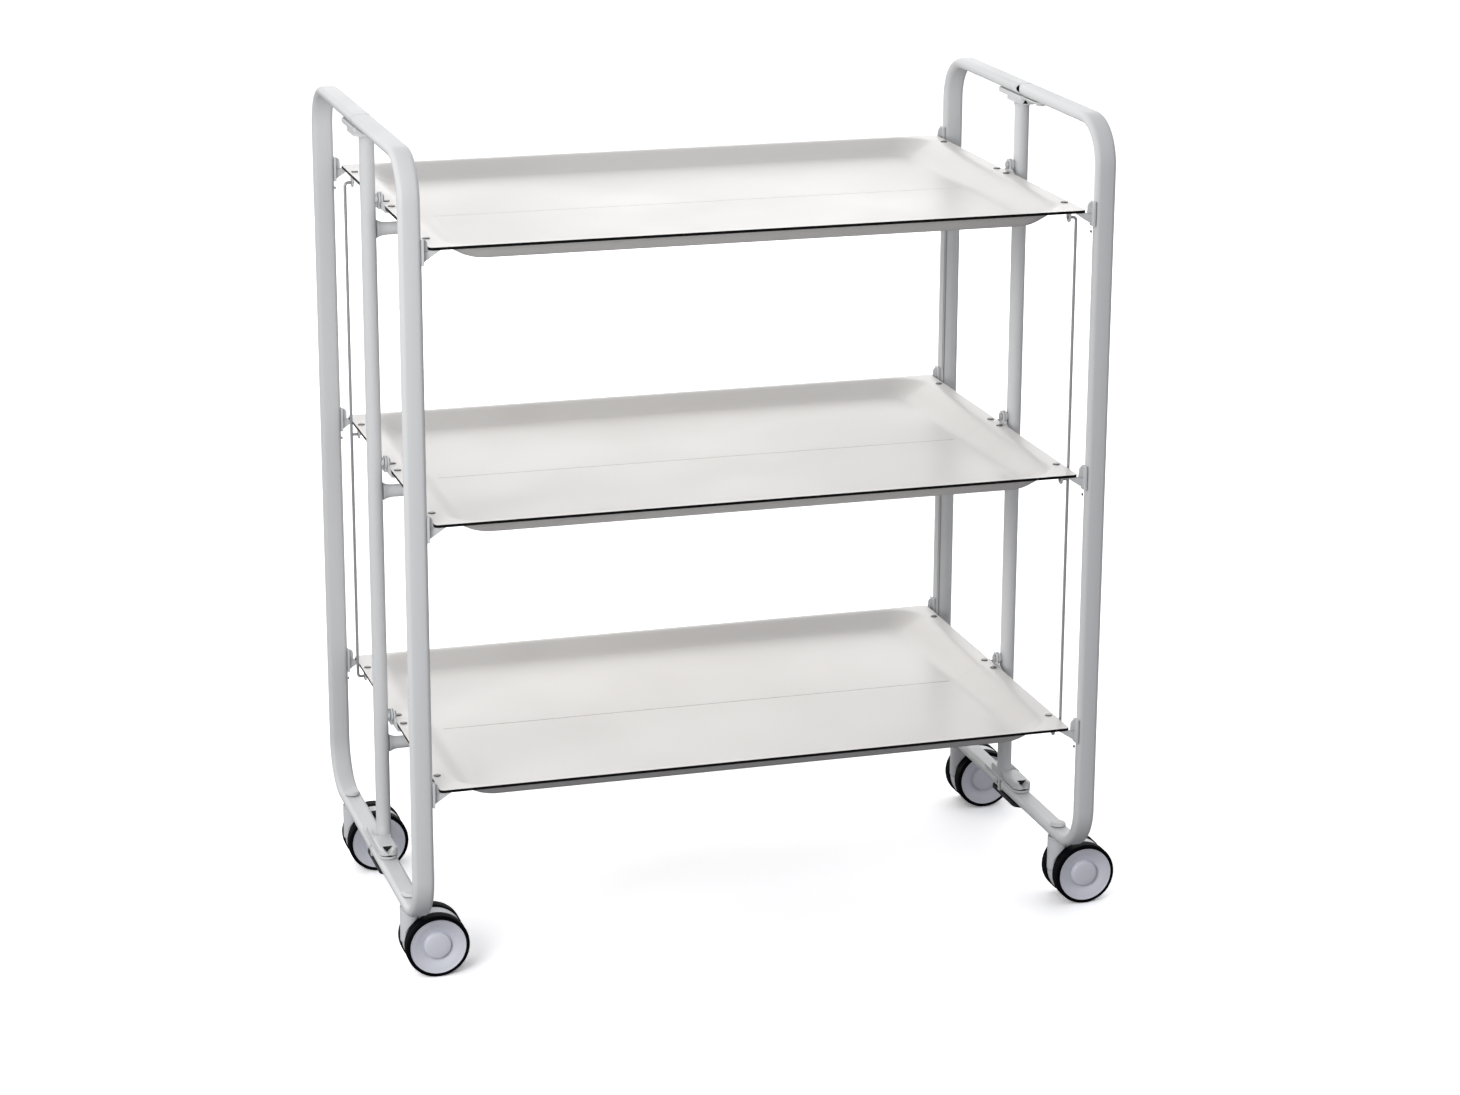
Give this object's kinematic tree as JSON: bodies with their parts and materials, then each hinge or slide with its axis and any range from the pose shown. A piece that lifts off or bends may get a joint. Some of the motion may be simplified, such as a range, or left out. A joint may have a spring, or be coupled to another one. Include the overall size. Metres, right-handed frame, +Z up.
{
  "type": "folding serving trolley",
  "caption": "White folding serving trolley with stacked split trays, rounded tubular end frames, link rods and castors.",
  "frame": {"origin": "on the floor, under the middle of the whole outline with the castors trailing to +X", "axes": "+Z up, +X along the trays to the right, -Y towards the front long side"},
  "size_m": [0.7042, 0.41, 0.78],
  "materials": {
    "white_laminate": "satin pressed laminate, warm white, dark core at the cut edge",
    "white_enamel": "white powder coat, satin",
    "white_plastic": "moulded white plastic, satin",
    "hub_plastic": "moulded pale grey plastic, satin",
    "black_rubber": "soft black rubber, matte"
  },
  "bodies": {
    "ladder": {"centre_post_left": "white_enamel", "centre_post_right": "white_enamel", "cross_bar_top": "white_enamel", "cross_bar_middle": "white_enamel", "cross_bar_bottom": "white_enamel", "head_plate_left": "white_enamel", "head_plate_right": "white_enamel", "foot_bracket_left": "white_enamel", "foot_bracket_right": "white_enamel"},
    "tray_top_front": {"tray_half_top_front": "white_laminate", "tray_strap_top_front_left": "white_enamel", "tray_strap_top_front_right": "white_enamel"},
    "tray_top_rear": {"tray_half_top_rear": "white_laminate", "tray_strap_top_rear_left": "white_enamel", "tray_strap_top_rear_right": "white_enamel"},
    "tray_middle_front": {"tray_half_middle_front": "white_laminate", "tray_strap_middle_front_left": "white_enamel", "tray_strap_middle_front_right": "white_enamel"},
    "tray_middle_rear": {"tray_half_middle_rear": "white_laminate", "tray_strap_middle_rear_left": "white_enamel", "tray_strap_middle_rear_right": "white_enamel"},
    "tray_bottom_front": {"tray_half_bottom_front": "white_laminate", "tray_strap_bottom_front_left": "white_enamel", "tray_strap_bottom_front_right": "white_enamel"},
    "tray_bottom_rear": {"tray_half_bottom_rear": "white_laminate", "tray_strap_bottom_rear_left": "white_enamel", "tray_strap_bottom_rear_right": "white_enamel"},
    "link_rod_front_left": {"link_rod_front_left": "white_enamel"},
    "frame_front_left": {"quarter_frame_front_left": "white_enamel", "castor_stem_front_left": "white_enamel"},
    "castor_front_left": {"castor_housing_front_left": "white_plastic"},
    "wheel_front_left_outer": {"castor_hub_front_left_outer": "hub_plastic", "castor_tyre_front_left_outer": "black_rubber"},
    "wheel_front_left_inner": {"castor_hub_front_left_inner": "hub_plastic", "castor_tyre_front_left_inner": "black_rubber"},
    "link_rod_front_right": {"link_rod_front_right": "white_enamel"},
    "frame_front_right": {"quarter_frame_front_right": "white_enamel", "castor_stem_front_right": "white_enamel"},
    "castor_front_right": {"castor_housing_front_right": "white_plastic"},
    "wheel_front_right_outer": {"castor_hub_front_right_outer": "hub_plastic", "castor_tyre_front_right_outer": "black_rubber"},
    "wheel_front_right_inner": {"castor_hub_front_right_inner": "hub_plastic", "castor_tyre_front_right_inner": "black_rubber"},
    "link_rod_rear_left": {"link_rod_rear_left": "white_enamel"},
    "frame_rear_left": {"quarter_frame_rear_left": "white_enamel", "castor_stem_rear_left": "white_enamel"},
    "castor_rear_left": {"castor_housing_rear_left": "white_plastic"},
    "wheel_rear_left_outer": {"castor_hub_rear_left_outer": "hub_plastic", "castor_tyre_rear_left_outer": "black_rubber"},
    "wheel_rear_left_inner": {"castor_hub_rear_left_inner": "hub_plastic", "castor_tyre_rear_left_inner": "black_rubber"},
    "link_rod_rear_right": {"link_rod_rear_right": "white_enamel"},
    "frame_rear_right": {"quarter_frame_rear_right": "white_enamel", "castor_stem_rear_right": "white_enamel"},
    "castor_rear_right": {"castor_housing_rear_right": "white_plastic"},
    "wheel_rear_right_outer": {"castor_hub_rear_right_outer": "hub_plastic", "castor_tyre_rear_right_outer": "black_rubber"},
    "wheel_rear_right_inner": {"castor_hub_rear_right_inner": "hub_plastic", "castor_tyre_rear_right_inner": "black_rubber"}
  },
  "joints": [
    {"name": "tray_lift", "type": "hinge", "parent": "ladder", "child": "tray_top_front", "pos_m": [-0.02085, 0, 0.7025], "axis": [-1, 0, 0], "range_deg": [0, 90]},
    {"name": "tray_top_rear_fold", "type": "hinge", "parent": "ladder", "child": "tray_top_rear", "pos_m": [-0.02085, 0, 0.7025], "axis": [1, 0, 0], "range_deg": [0, 90]},
    {"name": "tray_middle_front_fold", "type": "hinge", "parent": "ladder", "child": "tray_middle_front", "pos_m": [-0.02085, 0, 0.4537], "axis": [-1, 0, 0], "range_deg": [0, 90]},
    {"name": "tray_middle_rear_fold", "type": "hinge", "parent": "ladder", "child": "tray_middle_rear", "pos_m": [-0.02085, 0, 0.4537], "axis": [1, 0, 0], "range_deg": [0, 90]},
    {"name": "tray_bottom_front_fold", "type": "hinge", "parent": "ladder", "child": "tray_bottom_front", "pos_m": [-0.02085, 0, 0.2049], "axis": [-1, 0, 0], "range_deg": [0, 90]},
    {"name": "tray_bottom_rear_fold", "type": "hinge", "parent": "ladder", "child": "tray_bottom_rear", "pos_m": [-0.02085, 0, 0.2049], "axis": [1, 0, 0], "range_deg": [0, 90]},
    {"name": "link_rod_front_left_turn", "type": "hinge", "parent": "tray_top_front", "child": "link_rod_front_left", "pos_m": [-0.32285, -0.171, 0.685], "axis": [1, 0, 0], "range_deg": [0, 90]},
    {"name": "frame_front_left_swing", "type": "hinge", "parent": "ladder", "child": "frame_front_left", "pos_m": [-0.34215, -0.038, 0.4], "axis": [0, 0, 1], "range_deg": [0, 4]},
    {"name": "castor_front_left_swivel", "type": "hinge", "parent": "frame_front_left", "child": "castor_front_left", "pos_m": [-0.34215, -0.1377, 0.05], "axis": [0, 0, 1], "continuous": true},
    {"name": "wheel_front_left_outer_roll", "type": "hinge", "parent": "castor_front_left", "child": "wheel_front_left_outer", "pos_m": [-0.32045, -0.1377, 0.03], "axis": [0, 1, 0], "continuous": true},
    {"name": "wheel_front_left_inner_roll", "type": "hinge", "parent": "castor_front_left", "child": "wheel_front_left_inner", "pos_m": [-0.32045, -0.1377, 0.03], "axis": [0, 1, 0], "continuous": true},
    {"name": "link_rod_front_right_turn", "type": "hinge", "parent": "tray_top_front", "child": "link_rod_front_right", "pos_m": [0.28115, -0.171, 0.685], "axis": [1, 0, 0], "range_deg": [0, 90]},
    {"name": "frame_front_right_swing", "type": "hinge", "parent": "ladder", "child": "frame_front_right", "pos_m": [0.30045, -0.038, 0.4], "axis": [0, 0, -1], "range_deg": [0, 4]},
    {"name": "castor_front_right_swivel", "type": "hinge", "parent": "frame_front_right", "child": "castor_front_right", "pos_m": [0.30045, -0.1377, 0.05], "axis": [0, 0, 1], "continuous": true},
    {"name": "wheel_front_right_outer_roll", "type": "hinge", "parent": "castor_front_right", "child": "wheel_front_right_outer", "pos_m": [0.32215, -0.1377, 0.03], "axis": [0, 1, 0], "continuous": true},
    {"name": "wheel_front_right_inner_roll", "type": "hinge", "parent": "castor_front_right", "child": "wheel_front_right_inner", "pos_m": [0.32215, -0.1377, 0.03], "axis": [0, 1, 0], "continuous": true},
    {"name": "link_rod_rear_left_turn", "type": "hinge", "parent": "tray_top_rear", "child": "link_rod_rear_left", "pos_m": [-0.32285, 0.171, 0.685], "axis": [-1, 0, 0], "range_deg": [0, 90]},
    {"name": "frame_rear_left_swing", "type": "hinge", "parent": "ladder", "child": "frame_rear_left", "pos_m": [-0.34215, 0.038, 0.4], "axis": [0, 0, -1], "range_deg": [0, 4]},
    {"name": "castor_rear_left_swivel", "type": "hinge", "parent": "frame_rear_left", "child": "castor_rear_left", "pos_m": [-0.34215, 0.1377, 0.05], "axis": [0, 0, 1], "continuous": true},
    {"name": "wheel_rear_left_outer_roll", "type": "hinge", "parent": "castor_rear_left", "child": "wheel_rear_left_outer", "pos_m": [-0.32045, 0.1377, 0.03], "axis": [0, 1, 0], "continuous": true},
    {"name": "wheel_rear_left_inner_roll", "type": "hinge", "parent": "castor_rear_left", "child": "wheel_rear_left_inner", "pos_m": [-0.32045, 0.1377, 0.03], "axis": [0, 1, 0], "continuous": true},
    {"name": "link_rod_rear_right_turn", "type": "hinge", "parent": "tray_top_rear", "child": "link_rod_rear_right", "pos_m": [0.28115, 0.171, 0.685], "axis": [-1, 0, 0], "range_deg": [0, 90]},
    {"name": "frame_rear_right_swing", "type": "hinge", "parent": "ladder", "child": "frame_rear_right", "pos_m": [0.30045, 0.038, 0.4], "axis": [0, 0, 1], "range_deg": [0, 4]},
    {"name": "castor_rear_right_swivel", "type": "hinge", "parent": "frame_rear_right", "child": "castor_rear_right", "pos_m": [0.30045, 0.1377, 0.05], "axis": [0, 0, 1], "continuous": true},
    {"name": "wheel_rear_right_outer_roll", "type": "hinge", "parent": "castor_rear_right", "child": "wheel_rear_right_outer", "pos_m": [0.32215, 0.1377, 0.03], "axis": [0, 1, 0], "continuous": true},
    {"name": "wheel_rear_right_inner_roll", "type": "hinge", "parent": "castor_rear_right", "child": "wheel_rear_right_inner", "pos_m": [0.32215, 0.1377, 0.03], "axis": [0, 1, 0], "continuous": true}
  ],
  "couplings": [
    {"joint": "tray_top_rear_fold", "follows": "tray_lift", "ratio": 1},
    {"joint": "tray_middle_front_fold", "follows": "tray_lift", "ratio": 1},
    {"joint": "tray_middle_rear_fold", "follows": "tray_lift", "ratio": 1},
    {"joint": "tray_bottom_front_fold", "follows": "tray_lift", "ratio": 1},
    {"joint": "tray_bottom_rear_fold", "follows": "tray_lift", "ratio": 1},
    {"joint": "link_rod_front_left_turn", "follows": "tray_lift", "ratio": 1},
    {"joint": "frame_front_left_swing", "follows": "tray_lift", "ratio": 0.044444},
    {"joint": "link_rod_front_right_turn", "follows": "tray_lift", "ratio": 1},
    {"joint": "frame_front_right_swing", "follows": "tray_lift", "ratio": 0.044444},
    {"joint": "link_rod_rear_left_turn", "follows": "tray_lift", "ratio": 1},
    {"joint": "frame_rear_left_swing", "follows": "tray_lift", "ratio": 0.044444},
    {"joint": "link_rod_rear_right_turn", "follows": "tray_lift", "ratio": 1},
    {"joint": "frame_rear_right_swing", "follows": "tray_lift", "ratio": 0.044444}
  ]
}
